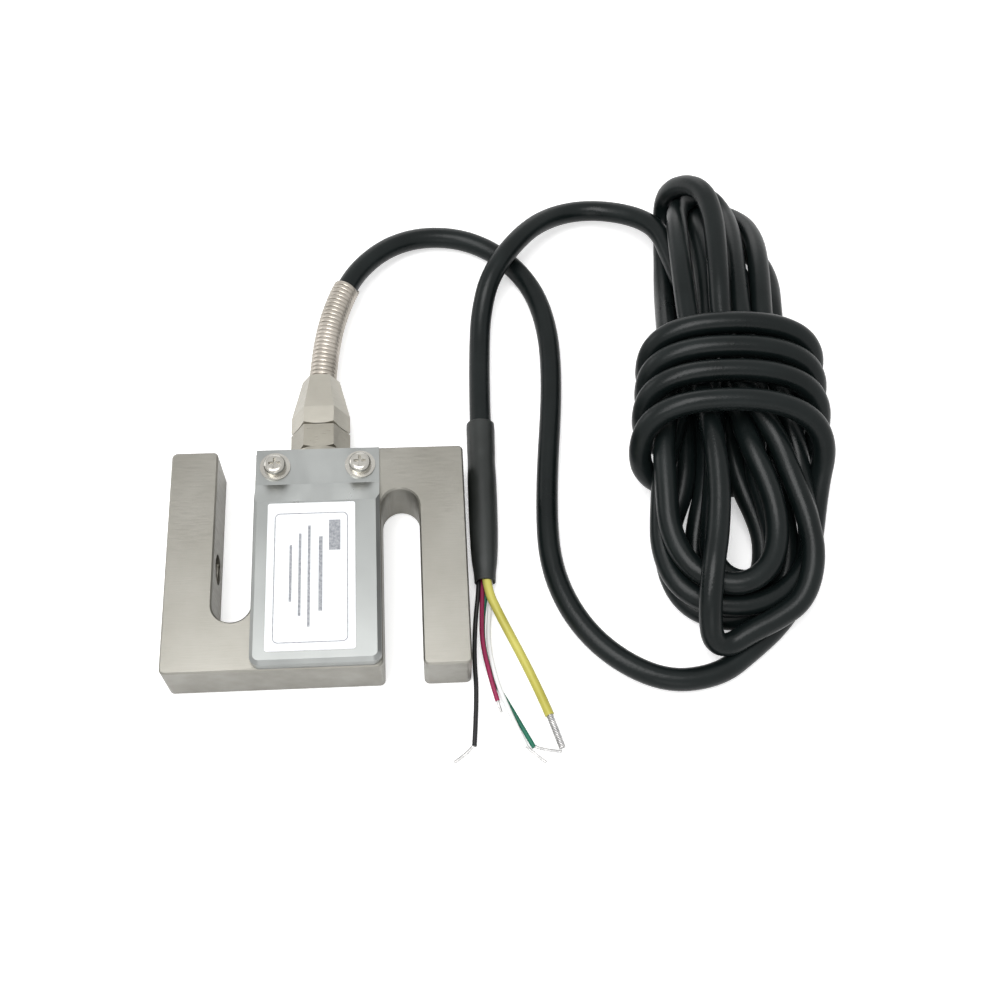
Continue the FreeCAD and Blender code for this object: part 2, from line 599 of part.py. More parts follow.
def hank_lobe():
    """The open front end of the loops, a flat ring round a long hole."""
    radius = HANK_LOBE_WIDTH / 2
    centre_y = HANK_LOBE_FRONT + radius
    rear = HANK_WAIST_FRONT + HANK_WAIST_RADIUS
    slab = box((HANK_LOBE_X - radius, HANK_LOBE_X + radius), (centre_y, rear),
               (0, HANK_LOBE_HEIGHT))
    slab = slab.fuse(cylinder(HANK_LOBE_WIDTH, HANK_LOBE_HEIGHT, (HANK_LOBE_X, centre_y, 0),
                              (0, 0, 1))).removeSplitter()
    rims = [edge for edge in slab.Edges if edge.BoundBox.ZLength < 0.01
            and edge.BoundBox.YMin < centre_y + 0.01]
    slab = slab.makeFillet(HANK_ROUNDING, rims)
    hole_radius = HANK_HOLE_WIDTH / 2
    front = HANK_HOLE_FRONT + hole_radius
    hole = box((HANK_HOLE_X - hole_radius, HANK_HOLE_X + hole_radius),
               (front, HANK_HOLE_REAR), (-1, HANK_LOBE_HEIGHT + 1))
    hole = hole.fuse(cylinder(HANK_HOLE_WIDTH, HANK_LOBE_HEIGHT + 2, (HANK_HOLE_X, front, -1),
                              (0, 0, 1)))
    return slab.cut(hole)


def hank_top():
    """The far end of the loops, narrower and standing higher."""
    root_y = HANK_WAIST_REAR - HANK_ROUNDING
    left = []
    right = []
    for width, y in ((HANK_TOP_ROOT_WIDTH, root_y), (HANK_TOP_SHOULDER_WIDTH, HANK_TOP_SHOULDER_Y),
                     (HANK_TOP_TIP_WIDTH, HANK_TOP_REAR)):
        left.append((HANK_TOP_X - width / 2, y))
        right.append((HANK_TOP_X + width / 2, y))
    plan = plan_prism(left + right[::-1], 0, HANK_TOP_HEIGHT)
    rims = [edge for edge in plan.Edges if edge.BoundBox.YMax > root_y + 1.0]
    return plan.makeFillet(HANK_ROUNDING, rims)


def cable_stub(points, end):
    """The first stretch of cord inside the hank, square to the end of its tube."""
    tip = Vector(*points[end])
    inner = Vector(*points[1 if end == 0 else -2])
    return cylinder(CABLE_DIAMETER, HANK_STUB_LENGTH, tip, tip - inner)


def cable_hank():
    """One closed solid of the outer shape of the hank, with the ends of its two leads."""
    hank = hank_waist().fuse(hank_lobe()).fuse(hank_top())
    hank = hank.fuse(cable_stub(LEAD_ROUTE, -1)).fuse(cable_stub(TAIL_ROUTE, 0))
    return hank


def sleeve_frame():
    """Start, direction and end of the shrink sleeve, which lies along the tail's last run."""
    before = Vector(*TAIL_ROUTE[-2])
    tip = Vector(*TAIL_ROUTE[-1])
    direction = (tip - before).normalize()
    start = tip - direction * SHRINK_GRIP
    return start, direction


def heat_shrink_sleeve():
    """The shrunk sleeve over the jacket's end, drawn in to a mouth round the cores."""
    start, direction = sleeve_frame()
    outer = SHRINK_DIAMETER / 2
    mouth = SHRINK_MOUTH_DIAMETER / 2
    bore = CABLE_DIAMETER / 2 + SLIDING_FIT / 2
    shoulder = start + direction * (SHRINK_GRIP + SHRINK_STRAIGHT)
    barrel = Part.makeCylinder(outer, SHRINK_GRIP + SHRINK_STRAIGHT, start, direction)
    taper = Part.makeCone(outer, mouth, SHRINK_TAPER, shoulder, direction)
    inside = Part.makeCylinder(bore, SHRINK_GRIP + SHRINK_STRAIGHT, start, direction)
    inner_taper = Part.makeCone(bore, mouth - SHRINK_WALL, SHRINK_TAPER, shoulder, direction)
    return barrel.fuse(taper).cut(inside).cut(inner_taper)


def core_start(across, rise):
    """Where a core leaves the jacket and where it leaves the sleeve's mouth."""
    start, direction = sleeve_frame()
    across_direction = direction.cross(Vector(0, 0, 1)) * -1
    shift = across_direction * across + Vector(0, 0, rise)
    jacket_end = start + direction * SHRINK_GRIP + shift
    middle = start + direction * (SHRINK_GRIP + SHRINK_STRAIGHT * 0.6) + shift
    mouth = start + direction * (SHRINK_GRIP + SHRINK_STRAIGHT + SHRINK_TAPER + 1.0) + shift
    return [tuple(jacket_end), tuple(middle + Vector(0, 0, 0.02)), tuple(mouth)]


def core(across, rise, route, diameter, name):
    """A core from the jacket's end, through the sleeve and out to where it is stripped."""
    return tube(core_start(across, rise) + route, diameter, name)


def bare_end(route, end, diameter):
    """The bare tinned strands that carry on from a stripped core."""
    tip = Vector(*route[-1])
    direction = (tip - Vector(*route[-2])).normalize()
    bend = tip + direction * 1.5
    points = [tuple(tip), tuple(bend), end]
    return tube(points, diameter, "bare end")


def export(shape, node):
    """Write one node's STEP file."""
    if not shape.isValid():
        print("NOT VALID", node)
    shape.exportStep("parts/" + node + ".step")


lead_wire = route_wire(LEAD_ROUTE, "lead route")

export(load_cell_body(), "load_cell_body")
export(front_cover(), "front_cover")
export(label(), "label")
for side, word in ((-1, "left"), (1, "right")):
    export(cover_screw(side), "cover_screw_" + word)
    export(screw_washer(side), "screw_washer_" + word)

# What lies in the gauge window, and the silicone round it
board = terminal_board()
resistor = balance_resistor()
jumpers = jumper_wires()
export(board, "terminal_board")
export(resistor, "balance_resistor")
export(jumpers, "gauge_jumper_wires")
potted = board.fuse(resistor)
for index, (side_x, side_y) in enumerate(((-1, -1), (1, -1), (-1, 1), (1, 1)), start=1):
    gauge = strain_gauge(side_x, side_y)
    export(gauge, "strain_gauge_" + str(index))
    potted = potted.fuse(gauge)
INNER_CORES = (("red", -1, -1), ("black", 1, -1), ("white", -1, 1), ("green", 1, 1))
for colour, column, row in INNER_CORES:
    inner = inner_core(column, row, "inner core " + colour)
    export(inner, "inner_core_" + colour)
    potted = potted.fuse(inner)
for jumper in jumpers.Solids:
    potted = potted.fuse(jumper)
export(window_fill(potted), "window_fill")

# Gland, from the body outwards
export(gland_washer(), "gland_washer")
export(gland_body(), "gland_body")
export(gland_seal(), "gland_seal")
export(clamp_washer(), "gland_clamp_washer")
export(cap_nut(), "gland_cap_nut")
export(spring_guard(lead_wire), "spring_guard")

# Cable, hank and the finished end
export(tube(LEAD_ROUTE, CABLE_DIAMETER, "cable lead"), "cable_lead")
export(cable_hank(), "cable_hank")
export(tube(TAIL_ROUTE, CABLE_DIAMETER, "cable tail"), "cable_tail")
export(heat_shrink_sleeve(), "heat_shrink_sleeve")
CORES = (("shield_sleeve", 0.0, 0.95, SHIELD_ROUTE, SHIELD_SLEEVE_DIAMETER, BRAID_END),
         ("core_black", -1.28, -0.57, BLACK_ROUTE, CORE_DIAMETER, BLACK_END),
         ("core_red", -0.53, -1.3, RED_ROUTE, CORE_DIAMETER, RED_END),
         ("core_green", 0.53, -1.3, GREEN_ROUTE, CORE_DIAMETER, GREEN_END),
         ("core_white", 1.28, -0.57, WHITE_ROUTE, CORE_DIAMETER, WHITE_END))
for node, across, rise, route, diameter, end in CORES:
    export(core(across, rise, route, diameter, node), node)
    bare = BRAID_DIAMETER if node == "shield_sleeve" else BARE_END_DIAMETER
    export(bare_end(route, end, bare), node + "_bare_end")
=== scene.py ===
import math
import bpy
import numpy as np
from mathutils import Matrix, Vector


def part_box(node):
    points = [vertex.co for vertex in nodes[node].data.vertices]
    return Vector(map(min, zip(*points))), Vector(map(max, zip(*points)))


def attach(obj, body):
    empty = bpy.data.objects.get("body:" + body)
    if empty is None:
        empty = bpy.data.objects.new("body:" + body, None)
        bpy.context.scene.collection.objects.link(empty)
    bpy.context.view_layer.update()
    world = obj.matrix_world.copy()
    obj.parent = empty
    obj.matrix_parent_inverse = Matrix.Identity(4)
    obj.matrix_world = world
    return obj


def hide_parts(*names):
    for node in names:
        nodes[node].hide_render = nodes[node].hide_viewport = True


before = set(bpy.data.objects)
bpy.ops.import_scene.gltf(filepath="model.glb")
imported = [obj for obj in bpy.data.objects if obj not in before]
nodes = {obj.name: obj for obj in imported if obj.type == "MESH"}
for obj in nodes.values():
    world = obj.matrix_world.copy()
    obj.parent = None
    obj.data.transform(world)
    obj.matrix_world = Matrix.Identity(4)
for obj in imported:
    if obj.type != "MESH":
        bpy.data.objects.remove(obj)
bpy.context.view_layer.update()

# Camera: a hand-held close view from above the front edge of the cell, turned a little to
# its left and tilted a few degrees, about 0.3 m away.
camera_yaw = math.radians(-7.31)
camera_height = math.radians(63.35)
camera_roll = math.radians(4.71)
camera_distance = 0.2923
camera_target = Vector((0.03976, 0.01477, 0.006))
back = Vector((math.sin(camera_yaw) * math.cos(camera_height),
               -math.cos(camera_yaw) * math.cos(camera_height), math.sin(camera_height)))
sideways = Vector((math.cos(camera_yaw), math.sin(camera_yaw), 0))
over = back.cross(sideways)
right = sideways * math.cos(camera_roll) + over * math.sin(camera_roll)
upright = over * math.cos(camera_roll) - sideways * math.sin(camera_roll)
camera_data = bpy.data.cameras.new("camera")
camera_data.lens = 47.24
camera_data.sensor_width = 36
camera_data.clip_start = 0.01
camera = bpy.data.objects.new("camera", camera_data)
camera.matrix_world = Matrix.Translation(camera_target + back * camera_distance) @ Matrix(
    (right, upright, back)).transposed().to_4x4()
bpy.context.scene.collection.objects.link(camera)
bpy.context.scene.camera = camera
bpy.context.scene.view_settings.view_transform = "Standard"


# Signal cable: a screened four-core lead in a soft black jacket, 5 mm thick. It leaves the
# gland, runs round the right of the cell, ties its own hank with four wrapped turns, makes
# six long loops and comes back over itself to its stripped end beside the cell.
CABLE_DIAMETER = 0.005
# the routes and the wrapped turns are in millimetres, and the other sizes are in metres
LEAD = [(0, 33, 6.35), (0, 53, 6.35), (5.2, 73.6, 6.0), (13.6, 84.9, 4.8), (24.2, 90.4, 3.2),
        (36.4, 89.4, 2.5), (46.9, 81.5, 2.5), (53.2, 69.2, 2.5), (54.5, 50.3, 2.5),
        (50.1, 15.0, 2.5), (50.4, -3.2, 2.5), (57.9, -18.3, 2.5), (71.4, -27.8, 2.5),
        (84.2, -27.1, 2.5), (92.5, -21.2, 2.5)]
ROUND_THE_LOOPS = [(99.6, -15.4, 2.5), (105.2, -7.6, 2.5), (108.8, 1.4, 2.6)]
# the wrapped turns, at the top of each and one turn beyond: y of the middle, lean along y,
# x of the middle, half-width
WRAP_TOPS = [(19.5, 7.2, 90.7, 20.7), (28.5, 5.5, 91.7, 20.2), (35.5, 4.6, 92.5, 19.6),
             (42.0, 4.3, 93.2, 19.3), (46.6, 4.0, 93.4, 19.2)]
# a turn's top lies a quarter of the way round, and up to the first top y climbs 9 mm a turn
WRAP_TOP = 0.25
WRAP_CLIMB_AT_START = 9.0
WRAP_MIDDLE_Z = 15.0
WRAP_HALF_HEIGHT = 12.5
WRAP_SQUARENESS = 0.8
# four turns of 14 points each, which start one point early and stop four points short, where
# the free routes meet them
WRAP_POINTS = 14
WRAP_FIRST = -1
WRAP_END = 4 * WRAP_POINTS - 3
WRAP_SHIFT = 0.02
AFTER_THE_WRAPS = [(103.0, 45.0, 2.6), (107.8, 52.0, 4.6)]
# each long loop: its far bend, its place in the tied waist going down, its near bend, and
# its place in the waist coming up
LOOPS = [
    ([(107.8, 62, 7.6), (109.4, 73, 4.8), (107.6, 82, 3.0), (102.2, 88.2, 2.5), (95, 88.4, 2.5),
      (90.2, 83, 2.5), (88.6, 73.4, 2.6), (87.0, 63, 4.4), (84.0, 51, 7.4)],
     [(83.4, 36, 8.4), (81.8, 17, 8.5)],
     [(77.0, 7, 4.2), (75.6, -1.8, 2.5), (79.2, -11.2, 2.5), (89.2, -15.2, 2.5),
      (98.4, -11.0, 2.6), (102.8, -2.6, 4.8), (103.2, 7, 5.6)],
     [(101.8, 17, 8.8), (101.6, 36, 8.4)]),
    ([(102.8, 51, 7.4), (103.0, 62, 4.2), (103.2, 71, 2.5), (103.0, 77.4, 2.5),
      (100.0, 80.2, 2.5), (96.4, 80.2, 2.5), (94.0, 77.3, 2.5), (93.5, 67, 2.8),
      (89.6, 53, 6.0)],
     [(87.0, 36, 8.2), (86.5, 17, 8.6)],
     [(83.2, 7, 4.6), (82.0, -1.8, 2.5), (84.0, -7.8, 2.5), (89.8, -10.2, 2.5),
      (95.2, -7.4, 2.5), (97.9, -0.8, 2.5), (98.0, 6.5, 4.4)],
     [(92.7, 18, 8.4), (92.8, 35, 8.2)]),
    ([(98.3, 51, 8.2), (99.2, 62, 7.8), (99.4, 74, 7.6), (99.2, 80.4, 7.6), (96.8, 83.4, 7.6),
      (93.2, 83.4, 8.0), (90.8, 80.0, 9.4), (89.3, 71, 12.4), (86.4, 60, 13.6), (84.6, 50, 13.6)],
     [(82.8, 36, 13.0), (76.3, 20, 11.2)],
     [(74.8, 9, 9.4), (74.2, 1.0, 7.7), (76.4, -7.4, 7.6), (82.6, -12.4, 7.6),
      (92.0, -13.4, 7.6), (100.0, -10.6, 7.7), (106.0, -4.4, 7.8), (107.6, 4.0, 8.6),
      (106.4, 12, 11.0)],
     [(106.4, 20, 13.0), (103.8, 36, 16.6)]),
    ([(101.0, 50, 20.0), (102, 60, 20.0), (103.2, 70, 18.2), (104, 78, 14.8),
      (103.6, 85, 11.2), (101.4, 90.4, 7.8), (96.8, 93.0, 6.8), (92.4, 91.2, 8.0),
      (91.0, 85.6, 11.8), (90.5, 78, 15.0), (90.4, 65, 17.2), (89.4, 52, 15.4)],
     [(88.8, 36, 13.6), (87.8, 20, 13.4)],
     [(86.0, 9, 11.0), (84.6, 0.5, 8.2), (86.4, -5.6, 7.6), (91.9, -8.2, 7.6),
      (97.4, -5.4, 7.7), (99.6, 0.8, 8.0), (98.4, 9, 9.8)],
     [(95.8, 19, 12.8), (99.4, 34, 16.0)]),
    ([(96.0, 50, 21.0), (96.6, 61, 20.6), (97.6, 72, 18.6), (98.4, 81, 15.6),
      (98.2, 88.2, 12.4), (95.8, 93.2, 12.2), (91.6, 94.4, 11.6), (88.4, 91.4, 11.6),
      (86.5, 87.0, 14.6), (85.0, 80, 18.6), (84.3, 70, 20.8), (83.9, 60, 21.8),
      (84.0, 50, 21.4)],
     [(84.6, 36, 20.2), (86.2, 21, 20.4)],
     [(86.3, 10, 18.8), (85.0, 0, 17.0), (82.9, -8, 16.6), (82.0, -15.6, 13.0),
      (82.8, -20.6, 7.2), (86.4, -21.6, 5.4), (91.4, -18.9, 7.0), (97.4, -16.6, 8.2),
      (103.4, -13.0, 9.8), (106.4, -4.6, 12.4), (105.9, 4.6, 13.6), (103.4, 13, 15.6)],
     [(100.6, 22, 18.6), (93.2, 37, 20.4)]),
    ([(91.0, 50, 22.2), (91.4, 60, 24.6), (92.0, 70, 25.0), (92.3, 78, 24.8),
      (91.4, 85.5, 24.0), (88.8, 90.6, 20.8), (86.0, 94.2, 15.0), (85.0, 95.6, 8.4),
      (85.2, 91.0, 3.2), (84.4, 82, 3.0), (83.2, 72, 4.0), (81.8, 62, 8.6),
      (80.4, 51, 13.8)],
     [(78.8, 36, 16.0), (75.7, 22, 16.6)],
     [(75.6, 12, 14.6), (75.5, 3.0, 12.7), (78.8, -5.0, 11.4), (85.4, -9.6, 11.6),
      (91.6, -10.0, 12.4), (97.0, -5.6, 12.8), (99.2, 2.0, 13.4), (98.2, 11, 15.4)],
     [(93.8, 22, 18.4), (94.0, 36, 13.0)]),
]
TAIL = [(92.4, 47, 11.4), (90.2, 57, 10.0), (87.2, 67.5, 8.6), (85.2, 78.5, 8.0),
        (82.8, 86.8, 8.8), (77.2, 92.8, 6.8), (67.6, 96.7, 4.4), (58.2, 94.9, 5.0),
        (49.6, 87.2, 8.6), (40.8, 75.2, 8.6), (37.9, 66.0, 4.4), (37.1, 55.0, 2.6),
        (36.55, 42.0, 3.3), (36.25, 28.0, 3.3)]


def wrapped_turns():
    """Points of the wrapped turns: a rounded box round the hank, climbing along Y. At angle t
    the point is middle + half-size * sign(cos t or sin t) * |cos t or sin t| ** 0.8, and y
    leans with sin t, so that each turn's top lies further along Y than its foot."""
    turns = np.arange(WRAP_FIRST, WRAP_END) / WRAP_POINTS + WRAP_SHIFT
    table = np.array(WRAP_TOPS)
    known = np.arange(len(table)) + WRAP_TOP
    middle_y, lean, middle_x, half = (np.interp(turns, known, table[:, i]) for i in range(4))
    before_top = (turns - WRAP_TOP) * WRAP_CLIMB_AT_START
    middle_y = np.where(turns < WRAP_TOP, middle_y + before_top, middle_y)
    angle = 2 * np.pi * turns
    across = np.sign(np.cos(angle)) * np.abs(np.cos(angle)) ** WRAP_SQUARENESS
    rise = np.sign(np.sin(angle)) * np.abs(np.sin(angle)) ** WRAP_SQUARENESS
    return np.stack([middle_x + half * across, middle_y + lean * rise,
                     WRAP_MIDDLE_Z + WRAP_HALF_HEIGHT * rise], 1).tolist()


cable_points = LEAD + ROUND_THE_LOOPS + wrapped_turns() + AFTER_THE_WRAPS
for far_bend, going_down, near_bend, coming_up in LOOPS:
    cable_points += far_bend + going_down + near_bend + coming_up
cable_points = np.array(cable_points + TAIL) / 1000


def nurbs_curve(curve, points, radius, around):
    """An open NURBS spline of order 3 through its end points, drawn as a round cord."""
    curve.dimensions = "3D"
    spline = curve.splines.new("NURBS")
    spline.points.add(len(points) - 1)
    spline.points.foreach_set("co", np.hstack([points, np.ones((len(points), 1))]).ravel())
    spline.order_u = 3
    spline.use_endpoint_u = True
    curve.resolution_u = 8
    curve.bevel_depth = radius
    curve.bevel_resolution = around
    curve.use_fill_caps = True
    return curve


def new_object(name, data):
    """Link a finished piece, which rides with the one body of the part."""
    piece = bpy.data.objects.new(name, data)
    bpy.context.scene.collection.objects.link(piece)
    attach(piece, "root")
    return piece


def shade_material(name, colour, roughness, metallic=0.0, specular=0.5):
    """A material with one Principled shader, and the parts that every finish adds to."""
    material = bpy.data.materials.new(name)
    material.use_nodes = True
    tree = material.node_tree
    shader = tree.nodes["Principled BSDF"]
    shader.inputs["Base Color"].default_value = (*colour, 1)
    shader.inputs["Roughness"].default_value = roughness
    shader.inputs["Metallic"].default_value = metallic
    shader.inputs["Specular IOR Level"].default_value = specular
    place = tree.nodes.new("ShaderNodeTexCoord")
    return material, tree, shader, place


def noise_layer(tree, place, scale, stretch=(1, 1, 1), detail=3.0):
    """Noise on object coordinates, squeezed by a Mapping node across the way the grain runs."""
    mapping = tree.nodes.new("ShaderNodeMapping")
    mapping.inputs["Scale"].default_value = stretch
    noise = tree.nodes.new("ShaderNodeTexNoise")
    noise.inputs["Scale"].default_value = scale
    noise.inputs["Detail"].default_value = detail
    tree.links.new(place.outputs["Object"], mapping.inputs["Vector"])
    tree.links.new(mapping.outputs["Vector"], noise.inputs["Vector"])
    return noise


def range_layer(tree, source, shader, socket, low, high):
    """A colour ramp that spreads a noise layer over a range of colours, or of greys for a
    plain value, and gives it to one of the shader's sockets."""
    ramp = tree.nodes.new("ShaderNodeValToRGB")
    ramp.color_ramp.elements[0].position = 0.3
    ramp.color_ramp.elements[0].color = (*low, 1)
    ramp.color_ramp.elements[1].position = 0.7
    ramp.color_ramp.elements[1].color = (*high, 1)
    tree.links.new(source.outputs["Fac"], ramp.inputs["Fac"])
    tree.links.new(ramp.outputs["Color"], shader.inputs[socket])


def bump_layer(tree, source, shader, strength, distance=0.0001):
    """A bump node that raises a noise layer on the shader's normal."""
    bump = tree.nodes.new("ShaderNodeBump")
    bump.inputs["Strength"].default_value = strength
    bump.inputs["Distance"].default_value = distance
    tree.links.new(source.outputs["Fac"], bump.inputs["Height"])
    tree.links.new(bump.outputs["Normal"], shader.inputs["Normal"])


def jacket_finish(name, dark, light, roughness, grain, specular=0.5):
    """Soft plastic drawn over a core: faint cloudiness and a fine orange-peel surface."""
    material, tree, shader, place = shade_material(name, light, roughness, specular=specular)
    cloud = noise_layer(tree, place, scale=90)
    range_layer(tree, cloud, shader, "Base Color", dark, light)
    range_layer(tree, cloud, shader, "Roughness", (roughness * 0.85,) * 3,
                (roughness * 1.2,) * 3)
    fine = noise_layer(tree, place, scale=grain)
    bump_layer(tree, fine, shader, strength=0.25, distance=0.00015)
    return material


cable_curve = nurbs_curve(bpy.data.curves.new("signal_cable", "CURVE"), cable_points,
                          CABLE_DIAMETER / 2, around=6)
cable_curve.materials.append(jacket_finish("black_jacket", (0.003, 0.005, 0.005),
                                           (0.006, 0.009, 0.009), roughness=0.31, grain=1500,
                                           specular=0.2))
cable = new_object("signal_cable", cable_curve)
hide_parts("cable_lead", "cable_hank", "cable_tail")


# Shrink sleeve: black polyolefin tube shrunk over the end of the jacket and the root of the
# cores, 39 mm long. Its edge stands proud of the jacket; further on it draws in on the cores.
SLEEVE_AXIS = np.array((-0.3, -14.0, 0.0)) / math.hypot(0.3, 14.0)
SLEEVE_GRIP = 0.0076
SLEEVE_LENGTH = 0.0394
SLEEVE_WALL = 0.0004
SLEEVE_ROWS = 97
SLEEVE_SIDES = 40
SLEEVE_SMOOTHING = 5
# low ridges over the five cores: their height is a share of the radius, their twist is in
# radians a metre, and they come in past a quarter of the length and are full at three quarters
RIDGE_COUNT = 5
RIDGE_HEIGHT = 0.02
RIDGE_TWIST = 60
RIDGE_START = 0.25
RIDGE_FADE = 2
SLEEVE_STATIONS = np.array((0, 0.4, 3, 7.6, 9.5, 14, 20, 26, 31, 34.6, 37.0, 39.4)) / 1000
SLEEVE_RADII = np.array((3.18, 3.27, 3.24, 3.2, 3.1, 3.27, 3.28, 3.2, 3.05, 2.8, 2.45,
                         2.32)) / 1000
jacket_end = cable_points[-1]
sleeve_start = jacket_end - SLEEVE_AXIS * SLEEVE_GRIP
sleeve_side = np.cross(SLEEVE_AXIS, (0, 0, 1)) * -1


def grid_mesh(name, grids, caps=False, loop=False):
    """One mesh from arrays of points, each rows x columns x 3. Each cell of a grid is a quad
    and its rows close on themselves. loop joins its last row to its first, and caps closes
    the first and the last row with fans."""
    points = []
    faces = []
    total = 0
    for rows in grids:
        count, around = rows.shape[:2]
        index = total + np.arange(count * around).reshape(count, around)
        if loop:
            index = np.vstack([index, index[:1]])
        ahead = np.roll(index, -1, axis=1)
        quads = np.stack([index[:-1], ahead[:-1], ahead[1:], index[1:]], -1)
        faces += quads.reshape(-1, 4).tolist()
        points.append(rows.reshape(-1, 3))
        total += count * around
        if caps:
            points.append(np.stack([rows[0].mean(0), rows[-1].mean(0)]))
            first = np.stack([ahead[0], index[0], np.full(around, total)], 1)
            last = np.stack([index[-1], ahead[-1], np.full(around, total + 1)], 1)
            faces += first.tolist() + last.tolist()
            total += 2
    mesh = bpy.data.meshes.new(name)
    mesh.from_pydata(np.vstack(points).tolist(), [], faces)
    mesh.shade_smooth()
    return mesh


def shrunk_tube():
    """Radius r at distance s along the axis, from the table of stations and smoothed, with
    ridges over the cores that fade in towards the mouth: at angle a it is
    r * (1 + height * fade * sin(count * a + twist * s)). The surface goes out along the
    outside, turns in at the mouth and comes back along the bore."""
    share = np.linspace(0, 1, SLEEVE_ROWS)
    along = share * SLEEVE_LENGTH
    radius = np.interp(along, SLEEVE_STATIONS, SLEEVE_RADII)
    padded = np.pad(radius, SLEEVE_SMOOTHING // 2, mode="edge")
    radius = np.convolve(padded, np.ones(SLEEVE_SMOOTHING) / SLEEVE_SMOOTHING, mode="valid")
    angle = np.linspace(0, 2 * np.pi, SLEEVE_SIDES, endpoint=False)
    ridges = RIDGE_HEIGHT * np.clip((share - RIDGE_START) * RIDGE_FADE, 0, 1)
    wave = np.sin(RIDGE_COUNT * angle[None] + RIDGE_TWIST * along[:, None]) * ridges[:, None]
    outer = radius[:, None] * (1 + wave)
    inner = outer[::-1] - SLEEVE_WALL
    reach = np.concatenate([along, along[::-1]])
    distance = np.concatenate([outer, inner])
    centre = sleeve_start + reach[:, None] * SLEEVE_AXIS
    ring = (np.cos(angle)[:, None] * sleeve_side + np.sin(angle)[:, None] * (0, 0, 1))
    rows = centre[:, None] + distance[..., None] * ring[None]
    rows[..., 2] = np.maximum(rows[..., 2], 0)
    return grid_mesh("shrink_sleeve", [rows], loop=True)


sleeve_mesh = shrunk_tube()
sleeve_mesh.materials.append(jacket_finish("black_shrink_tube", (0.010, 0.012, 0.011),
                                           (0.019, 0.022, 0.021), roughness=0.42, grain=900,
                                           specular=0.38))
sleeve = new_object("shrink_sleeve", sleeve_mesh)
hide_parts("heat_shrink_sleeve")


# Cores: four thin insulated wires, and a yellow sleeve over the cable's braided screen. They
# leave the jacket inside the shrink sleeve and lie loose on the table, and each is stripped at
# its end to its tinned copper strands.
CORE_DIAMETER = 0.001
CORE_BARE_DIAMETER = 0.0006
SCREEN_SLEEVE_DIAMETER = 0.002
SCREEN_BARE_DIAMETER = 0.0015
# how far past the jacket's end a core's middle point lies, and past the mouth its third one
CORE_MIDDLE = 0.0162
CORE_PAST_MOUTH = 0.001
CORE_MIDDLE_LIFT = 0.00002
# each core: its place in the sleeve, across and up; its slot; its route on the table; and the
# tip of its bare end, in millimetres
CORES = {
    "shield_sleeve": (0.0, 0.95, "core_yellow",
                      [(38.4, -11.6, 3.1), (43.0, -21.0, 1.2), (46.6, -30.0, 1.0),
                       (47.8, -33.6, 1.0)], (50.0, -40.6, 0.6)),
    "core_black": (-1.28, -0.57, "core_black",
                   [(33.2, -11.0, 1.2), (32.5, -20.0, 0.5), (32.8, -28.4, 0.5),
                    (31.7, -39.4, 0.5)], (27.4, -42.6, 0.4)),
    "core_red": (-0.53, -1.3, "core_red",
                 [(34.6, -10.0, 1.6), (34.3, -16.5, 1.5), (35.4, -23.5, 1.5),
                  (37.0, -30.0, 1.0)], (37.7, -32.4, 0.5)),
    "core_green": (0.53, -1.3, "core_green",
                   [(34.9, -9.8, 0.5), (34.5, -16.5, 0.5), (35.8, -24.0, 0.5),
                    (39.8, -31.6, 0.5), (44.1, -40.2, 0.5)], (49.8, -41.3, 0.5)),
    "core_white": (1.28, -0.57, "core_white",
                   [(36.3, -9.6, 1.6), (35.6, -16.5, 1.5), (36.6, -24.0, 1.55),
                    (38.6, -31.0, 1.5), (42.5, -40.0, 0.5)], (46.4, -43.4, 0.4)),
}
CORE_COLOURS = {
    "core_yellow": ((0.43, 0.39, 0.07), (0.59, 0.545, 0.13)),
    "core_black": ((0.008, 0.008, 0.009), (0.014, 0.014, 0.015)),
    "core_red": ((0.22, 0.012, 0.055), (0.34, 0.022, 0.09)),
    "core_green": ((0.005, 0.085, 0.05), (0.01, 0.14, 0.085)),
    "core_white": ((0.74, 0.75, 0.75), (0.86, 0.86, 0.86)),
}
STRAND_COUNT = 7
STRAND_LAY = 0.0045
STRAND_SHARE = 0.36
STRAND_ROWS = 40
STRAND_SIDES = 8
STRAND_BEND = 0.0015
STRAND_ROOT = 0.001
STRAND_LOWEST = 0.00002


def core_route(across, rise, route):
    """The core's points inside the sleeve, then its own points on the table, in metres."""
    shift = sleeve_side * across / 1000 + np.array((0, 0, rise)) / 1000
    reaches = (SLEEVE_GRIP, SLEEVE_GRIP + CORE_MIDDLE, SLEEVE_LENGTH + CORE_PAST_MOUTH)
    inside = [sleeve_start + SLEEVE_AXIS * reach + shift for reach in reaches]
    inside[1][2] += CORE_MIDDLE_LIFT
    return np.vstack([inside, np.array(route) / 1000])


def read_line(points):
    """The points of a route's NURBS line, as a curve without thickness gives them."""
    curve = nurbs_curve(bpy.data.curves.new("line", "CURVE"), points, 0, around=0)
    curve.use_fill_caps = False
    holder = bpy.data.objects.new("line", curve)
    mesh = bpy.data.meshes.new_from_object(holder)
    line = np.empty(len(mesh.vertices) * 3, np.float32)
    mesh.vertices.foreach_get("co", line)
    bpy.data.objects.remove(holder)
    return line.reshape(-1, 3).astype(float)


def distances_along(line):
    """The distance of each point of a line from its start, measured along it."""
    step = np.linalg.norm(np.diff(line, axis=0), axis=1)
    return np.concatenate([[0], np.cumsum(step)])


